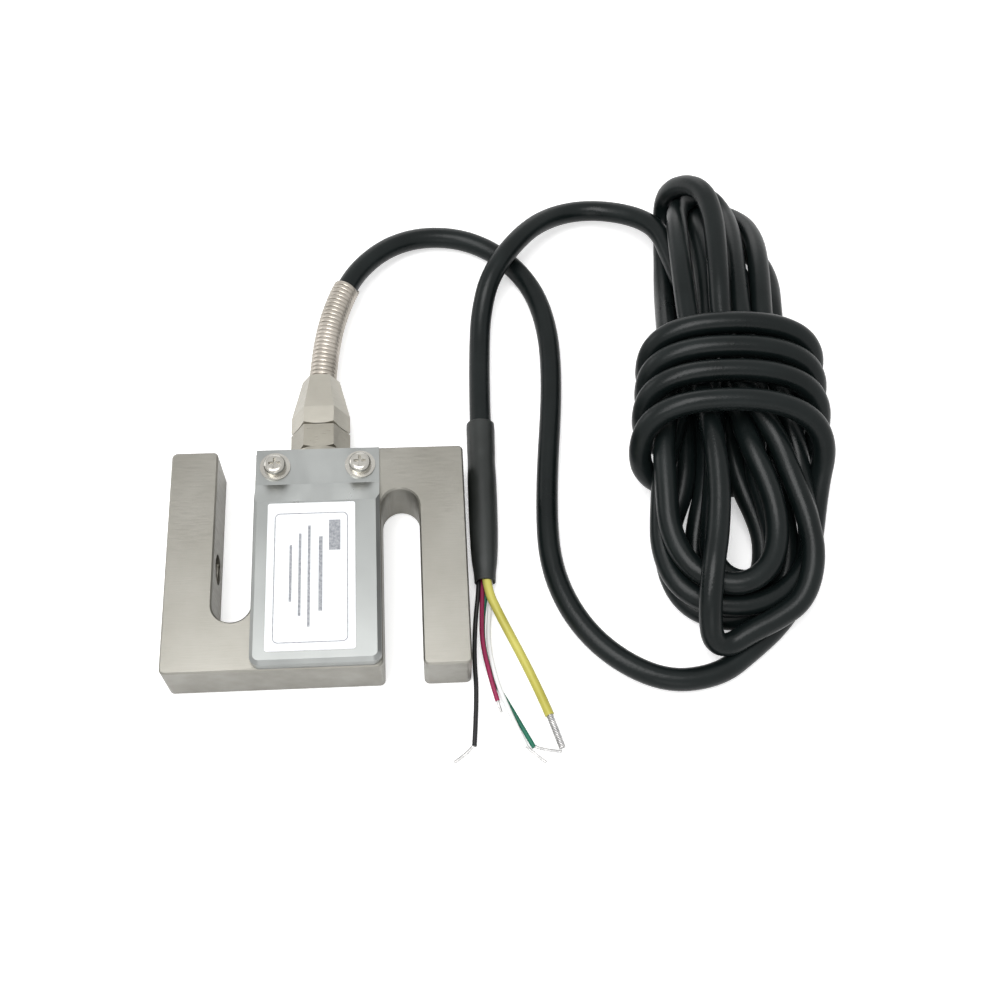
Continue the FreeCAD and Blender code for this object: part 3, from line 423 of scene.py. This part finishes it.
def frames_at(stations, distance, line):
    """The places at given distances along a line, the line's direction at each, and two
    directions square to it: the first is level, and the second is the cross product of the
    first and the line's direction."""
    place = np.stack([np.interp(stations, distance, line[:, i]) for i in range(3)], 1)
    ahead = np.gradient(place, axis=0)
    ahead /= np.linalg.norm(ahead, axis=1)[:, None]
    first = np.cross(ahead, (0, 0, 1))
    first /= np.linalg.norm(first, axis=1)[:, None]
    return place, ahead, first, np.cross(first, ahead)


def stranded_end(name, start, end, direction, diameter):
    """Bare twisted strands. Strand k stands at angle 2 pi (k / n + s / lay) round the line of
    the wire, at radius (diameter - strand) / 2, and is a thin tube along that helix. A tube
    as thick as two strands fills the middle."""
    line = read_line(np.array([start, start + direction * STRAND_BEND, end]))
    distance = distances_along(line)
    length = distance[-1]
    stations = np.linspace(0, length, STRAND_ROWS)
    place, ahead, first, second = frames_at(stations, distance, line)
    turns = np.linspace(0, length / STRAND_LAY, STRAND_ROWS)
    strand = diameter * STRAND_SHARE
    around = np.linspace(0, -2 * np.pi, STRAND_SIDES, endpoint=False)
    ring = np.cos(around)[:, None, None] * first + np.sin(around)[:, None, None] * second
    grids = []
    for k in range(STRAND_COUNT):
        turn = 2 * np.pi * (k / STRAND_COUNT + turns)[:, None]
        centre = place + (diameter - strand) / 2 * (np.cos(turn) * first + np.sin(turn) * second)
        grids.append(centre[:, None] + strand / 2 * ring.transpose(1, 0, 2))
    grids.append(place[:, None] + strand * ring.transpose(1, 0, 2))
    for rows in grids:
        rows[..., 2] = np.maximum(rows[..., 2], STRAND_LOWEST)
    return grid_mesh(name, grids, caps=True)


tinned, tree, shader, place = shade_material("tinned_strands", (0.48, 0.48, 0.48), 0.34,
                                             metallic=1.0)
tin_cloud = noise_layer(tree, place, scale=700)
range_layer(tree, tin_cloud, shader, "Base Color", (0.34, 0.34, 0.34), (0.62, 0.61, 0.60))
bump_layer(tree, tin_cloud, shader, strength=0.4)

for node, (across, rise, slot, route, end) in CORES.items():
    screen = node == "shield_sleeve"
    diameter = SCREEN_SLEEVE_DIAMETER if screen else CORE_DIAMETER
    bare_diameter = SCREEN_BARE_DIAMETER if screen else CORE_BARE_DIAMETER
    points = core_route(across, rise, route)
    curve = nurbs_curve(bpy.data.curves.new(node + "_insulation", "CURVE"), points,
                        diameter / 2, around=4)
    curve.materials.append(jacket_finish(node + "_plastic", *CORE_COLOURS[slot],
                                         roughness=0.4, grain=2600, specular=0.3))
    piece = new_object(node + "_insulation", curve)
    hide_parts(node)
    direction = points[-1] - points[-2]
    direction /= np.linalg.norm(direction)
    bare = stranded_end(node + "_strands", points[-1] - direction * STRAND_ROOT,
                        np.array(end) / 1000, direction, bare_diameter)
    bare.materials.append(tinned)
    strands = new_object(node + "_strands", bare)
    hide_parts(node + "_bare_end")


# Spring guard: one flat steel wire wound close over the cable, 33 turns from inside the cap
# nut outwards, so that the cable can't kink where it leaves the gland. Nickel plated.
GUARD_TURNS = 33
GUARD_PITCH = 0.0011
GUARD_MIDDLE = 0.00285
GUARD_HALF_WIDE = 0.00053
GUARD_HALF_THICK = 0.0003
GUARD_START = 0.0045
GUARD_STEPS = 30
GUARD_SIDES = 12
GUARD_SQUARENESS = 0.6
# how many points of the cable's route the guard spans
GUARD_SPAN = 6


def wound_spring():
    """Wire middle at angle 2 pi s / pitch and radius GUARD_MIDDLE round the cable's own line,
    and a wire section (cos^0.6, sin^0.6) that is wide along the cable and thin across it."""
    line = read_line(cable_points[:GUARD_SPAN])
    stations = GUARD_START + np.arange(GUARD_TURNS * GUARD_STEPS + 1) * GUARD_PITCH / GUARD_STEPS
    place, ahead, first, second = frames_at(stations, distances_along(line), line)
    turn = 2 * np.pi * (stations - GUARD_START)[:, None] / GUARD_PITCH
    outward = np.cos(turn) * first + np.sin(turn) * second
    centre = place + GUARD_MIDDLE * outward
    section = np.linspace(0, 2 * np.pi, GUARD_SIDES, endpoint=False)[:, None, None]
    thick = np.sign(np.cos(section)) * np.abs(np.cos(section)) ** GUARD_SQUARENESS
    wide = np.sign(np.sin(section)) * np.abs(np.sin(section)) ** GUARD_SQUARENESS
    rows = centre + GUARD_HALF_THICK * thick * outward + GUARD_HALF_WIDE * wide * ahead
    return grid_mesh("wound_spring", [rows.transpose(1, 0, 2)], caps=True)


guard_metal, tree, shader, place = shade_material("guard_nickel", (0.45, 0.41, 0.36), 0.38,
                                                  metallic=1.0)
guard_cloud = noise_layer(tree, place, scale=160)
range_layer(tree, guard_cloud, shader, "Base Color", (0.38, 0.35, 0.305), (0.51, 0.47, 0.42))
bump_layer(tree, noise_layer(tree, place, scale=2200), shader, strength=0.15)
guard_mesh = wound_spring()
guard_mesh.materials.append(guard_metal)
guard = new_object("wound_spring_guard", guard_mesh)
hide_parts("spring_guard")


# Spring body: one block of alloy steel with two slots milled in from opposite ends, ground on
# its faces and nickel plated to a satin grey, with the fine grain of the grinding left in it.
def dress(node, material):
    """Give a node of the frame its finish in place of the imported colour."""
    nodes[node].data.materials.clear()
    nodes[node].data.materials.append(material)


def plated_steel(name, dark, light, roughness, grain, depth, stretch=(1, 1, 1)):
    """Plate over a worked surface: slow clouds of tone, and a grain that can run one way."""
    material, tree, shader, place = shade_material(name, light, roughness, metallic=1.0)
    cloud = noise_layer(tree, place, scale=60, detail=4)
    range_layer(tree, cloud, shader, "Base Color", dark, light)
    lines = noise_layer(tree, place, scale=grain, stretch=stretch, detail=4)
    range_layer(tree, lines, shader, "Roughness", (roughness * 0.8,) * 3,
                (roughness * 1.25,) * 3)
    bump_layer(tree, lines, shader, strength=depth)
    return material


dress("load_cell_body", plated_steel("satin_nickel", (0.238, 0.230, 0.203), (0.282, 0.274, 0.247),
                                     roughness=0.38, grain=240, depth=0.14,
                                     stretch=(1, 14, 1)))


# Load threads: M8 x 1.25 cut through each arm on the load axis. The ridge between two turns
# of the groove stands in from the bored wall, bright from the tap.
THREAD_PITCH = 0.00125
THREAD_WALL = 0.003325
THREAD_CREST = 0.00302
THREAD_LENGTH = 0.0086
THREAD_AXIS_Z = 0.00635
THREAD_STEPS = 48
# where the thread of each arm starts along x
THREAD_STARTS = (0.0223, -0.0309)
# the ridge's section: shares of a pitch along the axis, and the radius there
THREAD_CORNERS = ((-0.35, THREAD_WALL), (-0.06, THREAD_CREST), (0.06, THREAD_CREST),
                  (0.35, THREAD_WALL))


def thread_ridge(x_start):
    """A helix of a four-cornered section round the axis: at angle t, each corner stands at
    x_start + pitch * (t / 2 pi + share), radius * cos t, and axis height + radius * sin t."""
    steps = int(THREAD_LENGTH / THREAD_PITCH * THREAD_STEPS)
    turn = 2 * np.pi * np.arange(steps + 1) / THREAD_STEPS
    along = x_start + THREAD_PITCH * turn / (2 * np.pi)
    return np.stack([np.stack([along + share * THREAD_PITCH, radius * np.cos(turn),
                               THREAD_AXIS_Z + radius * np.sin(turn)], -1)
                     for share, radius in THREAD_CORNERS], 1)


thread_mesh = grid_mesh("load_threads", [thread_ridge(x) for x in THREAD_STARTS], caps=True)
thread_mesh.materials.append(plated_steel("cut_thread", (0.34, 0.33, 0.29), (0.44, 0.42, 0.37),
                                          roughness=0.35, grain=800, depth=0.1))
new_object("load_threads", thread_mesh)


# Cover: sheet steel pressed into a shallow pan over the gauge window, brighter than the body,
# with a rolled bevel round its rim and a flange that two screws hold down.
dress("front_cover", plated_steel("bright_plate", (0.272, 0.282, 0.275), (0.312, 0.322, 0.315),
                                  roughness=0.34, grain=60, depth=0.01, stretch=(3, 1, 1)))


# Label: a white plastic film with a self-adhesive back, stuck on the flat of the cover. It is
# printed in grey ink with a thin frame, and with plain bars that stand for its words.
film, tree, shader, place = shade_material("white_film", (0.80, 0.81, 0.84), 0.28)
film_cloud = noise_layer(tree, place, scale=120)
range_layer(tree, film_cloud, shader, "Base Color", (0.80, 0.81, 0.84), (0.86, 0.87, 0.89))
bump_layer(tree, film_cloud, shader, strength=0.1)
dress("label", film)
label_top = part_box("label")[1].z
PRINT_FOOT = label_top - 0.00001
PRINT_TOP = label_top + 0.00002
PRINT_FRAME = (-0.0087, 0.0067, -0.0210, 0.0082)
PRINT_CORNER = 0.0012
PRINT_LINE = 0.00022
PRINT_RING = 64
# each bar: x, y from, y to, width, all in millimetres
PRINT_BARS = [(3.9, -0.6, 6.4, 2.4), (1.0, -14.2, 2.6, 0.8), (-1.4, -17.6, 5.2, 0.55),
              (-3.3, -15.2, 3.4, 0.55), (-5.2, -12.0, 0.8, 0.55)]


def printed_frame():
    """A rounded rectangle round the print: at angle a its outline is the middle, plus the sign
    of (cos a, sin a) times the half-size, plus the corner radius times (cos a, sin a). Its
    section is a flat strip PRINT_LINE wide that stands on the film."""
    low_x, high_x, low_y, high_y = PRINT_FRAME
    angle = np.linspace(0, 2 * np.pi, PRINT_RING, endpoint=False) + np.pi / PRINT_RING
    middle = np.array(((low_x + high_x) / 2, (low_y + high_y) / 2))
    half = np.array(((high_x - low_x) / 2, (high_y - low_y) / 2)) - PRINT_CORNER
    heading = np.stack([np.cos(angle), np.sin(angle)], 1)
    core = middle + np.sign(heading) * half
    section = ((0, PRINT_FOOT), (0, PRINT_TOP), (-PRINT_LINE, PRINT_TOP),
               (-PRINT_LINE, PRINT_FOOT))
    return np.stack([np.column_stack([core + heading * (PRINT_CORNER + inset),
                                      np.full(PRINT_RING, z)]) for inset, z in section])


def printed_bar(x, y_from, y_to, width):
    """The foot and the top of one bar, as two rows of four corners."""
    corners = np.array([(x - width / 2, y_from), (x + width / 2, y_from),
                        (x + width / 2, y_to), (x - width / 2, y_to)]) / 1000
    return np.stack([np.column_stack([corners, np.full(4, z)]) for z in (PRINT_FOOT, PRINT_TOP)])


ink, tree, shader, place = shade_material("grey_ink", (0.28, 0.29, 0.31), 0.5)
ink_cloud = noise_layer(tree, place, scale=1800)
range_layer(tree, ink_cloud, shader, "Base Color", (0.19, 0.20, 0.22), (0.38, 0.39, 0.41))
for name, grids, ringed in (("printed_frame", [printed_frame()], True),
                            ("printed_bars", [printed_bar(*bar) for bar in PRINT_BARS], False)):
    print_mesh = grid_mesh(name, grids, caps=not ringed, loop=ringed)
    print_mesh.shade_flat()
    print_mesh.materials.append(ink)
    new_object(name, print_mesh)


# Cover screws and washers: M2.5 pan heads with a cross recess, cold formed in steel and plated
# bright. They go through a flat washer and the cover's flange into the body.
screw_plate = plated_steel("screw_plate", (0.36, 0.347, 0.315), (0.50, 0.487, 0.45),
                           roughness=0.22, grain=900, depth=0.08)
for side in ("left", "right"):
    dress("cover_screw_" + side, screw_plate)
    dress("screw_washer_" + side, screw_plate)


# Gland: turned from hexagon bar and nickel plated. The cap nut squeezes a rubber ring on the
# cable through a thin brass washer, and a flat washer seals it to the body.
gland_plate = plated_steel("gland_nickel", (0.265, 0.25, 0.212), (0.345, 0.328, 0.283),
                           roughness=0.33, grain=420, depth=0.14, stretch=(1, 10, 1))
for node in ("gland_washer", "gland_body"):
    dress(node, gland_plate)
dress("gland_cap_nut", plated_steel("nut_nickel", (0.39, 0.372, 0.325), (0.50, 0.478, 0.42),
                                    roughness=0.36, grain=420, depth=0.14,
                                    stretch=(1, 10, 1)))
dress("gland_seal", jacket_finish("seal_rubber", (0.015, 0.015, 0.015), (0.03, 0.03, 0.03),
                                  roughness=0.6, grain=1200))
dress("gland_clamp_washer", plated_steel("turned_brass", (0.50, 0.36, 0.14),
                                         (0.66, 0.50, 0.22), roughness=0.3, grain=600,
                                         depth=0.1))


# Inside the gauge window: foil gauges on amber film, a glass-epoxy board with a chip
# resistor, enamelled jumper wires, the ends of the cores, and the silicone over them.
INNER_FINISHES = {
    "window_fill": ("potting_silicone", (0.78, 0.78, 0.75), (0.86, 0.86, 0.83), 0.45),
    "terminal_board": ("board_epoxy", (0.42, 0.28, 0.06), (0.52, 0.36, 0.10), 0.4),
    "balance_resistor": ("chip_ceramic", (0.02, 0.02, 0.022), (0.04, 0.04, 0.045), 0.5),
    "gauge_jumper_wires": ("enamelled_copper", (0.42, 0.14, 0.04), (0.55, 0.20, 0.07), 0.3),
}
for colour in ("red", "black", "white", "green"):
    INNER_FINISHES["inner_core_" + colour] = ("inner_" + colour,
                                              *CORE_COLOURS["core_" + colour], 0.34)
for number in ("1", "2", "3", "4"):
    INNER_FINISHES["strain_gauge_" + number] = ("gauge_film_" + number, (0.50, 0.24, 0.04),
                                                (0.62, 0.32, 0.06), 0.35)
for node, (name, dark, light, roughness) in INNER_FINISHES.items():
    dress(node, jacket_finish(name, dark, light, roughness, grain=1500))


# Studio: the part lies on a white paper floor under even light from a white surround, with
# five large soft lamps. The paper glows for the eye, and a little for what mirrors it.
FLOOR_HALF = 1.5
FLOOR_Z = -0.0002
LAMP_AIM = Vector((0.05, 0.03, 0))
floor_mesh = bpy.data.meshes.new("floor")
floor_mesh.from_pydata([(-FLOOR_HALF, -FLOOR_HALF, FLOOR_Z), (FLOOR_HALF, -FLOOR_HALF, FLOOR_Z),
                        (FLOOR_HALF, FLOOR_HALF, FLOOR_Z), (-FLOOR_HALF, FLOOR_HALF, FLOOR_Z)],
                       [], [(0, 1, 2, 3)])
floor = bpy.data.objects.new("floor", floor_mesh)
bpy.context.scene.collection.objects.link(floor)
paper, tree, shader, place = shade_material("white_paper", (0.88, 0.88, 0.88), 0.9)
shader.inputs["Emission Color"].default_value = (1, 1, 1, 1)
rays = tree.nodes.new("ShaderNodeLightPath")
seen = tree.nodes.new("ShaderNodeMath")
seen.operation = "MULTIPLY"
seen.inputs[1].default_value = 0.45
tree.links.new(rays.outputs["Is Camera Ray"], seen.inputs[0])
mirrored = tree.nodes.new("ShaderNodeMath")
mirrored.operation = "MULTIPLY_ADD"
mirrored.inputs[1].default_value = 0.12
tree.links.new(rays.outputs["Is Glossy Ray"], mirrored.inputs[0])
tree.links.new(seen.outputs[0], mirrored.inputs[2])
tree.links.new(mirrored.outputs[0], shader.inputs["Emission Strength"])
floor_mesh.materials.append(paper)

world = bpy.data.worlds.new("studio")
world.use_nodes = True
bpy.context.scene.world = world
tree = world.node_tree
surround = tree.nodes["Background"]
surround.inputs["Color"].default_value = (1, 1, 1, 1)
rays = tree.nodes.new("ShaderNodeLightPath")
full_white = rays.outputs["Is Camera Ray"]
for kind in ("Is Transmission Ray", "Is Glossy Ray"):
    larger = tree.nodes.new("ShaderNodeMath")
    larger.operation = "MAXIMUM"
    tree.links.new(full_white, larger.inputs[0])
    tree.links.new(rays.outputs[kind], larger.inputs[1])
    full_white = larger.outputs[0]
strength = tree.nodes.new("ShaderNodeMapRange")
strength.inputs["To Min"].default_value = 0.55
strength.inputs["To Max"].default_value = 1.0
tree.links.new(full_white, strength.inputs["Value"])
tree.links.new(strength.outputs["Result"], surround.inputs["Strength"])


def soft_lamp(name, position, size, power):
    """A square area lamp that faces the middle of the object."""
    data = bpy.data.lights.new(name, "AREA")
    data.size = size
    data.energy = power
    lamp = bpy.data.objects.new(name, data)
    lamp.location = position
    aim = LAMP_AIM - Vector(position)
    lamp.rotation_euler = aim.to_track_quat("-Z", "Y").to_euler()
    bpy.context.scene.collection.objects.link(lamp)


soft_lamp("key_lamp", (-0.45, -0.35, 0.85), size=0.35, power=2.2)
soft_lamp("top_lamp", (-0.06, -0.04, 0.62), size=0.35, power=2.5)
soft_lamp("front_lamp", (0.05, -0.95, 0.45), size=0.5, power=1.0)
soft_lamp("side_lamp", (-0.8, 0.40, 0.15), size=0.35, power=0.8)
soft_lamp("back_lamp", (0.0, 0.9, 0.2), size=0.4, power=0.5)
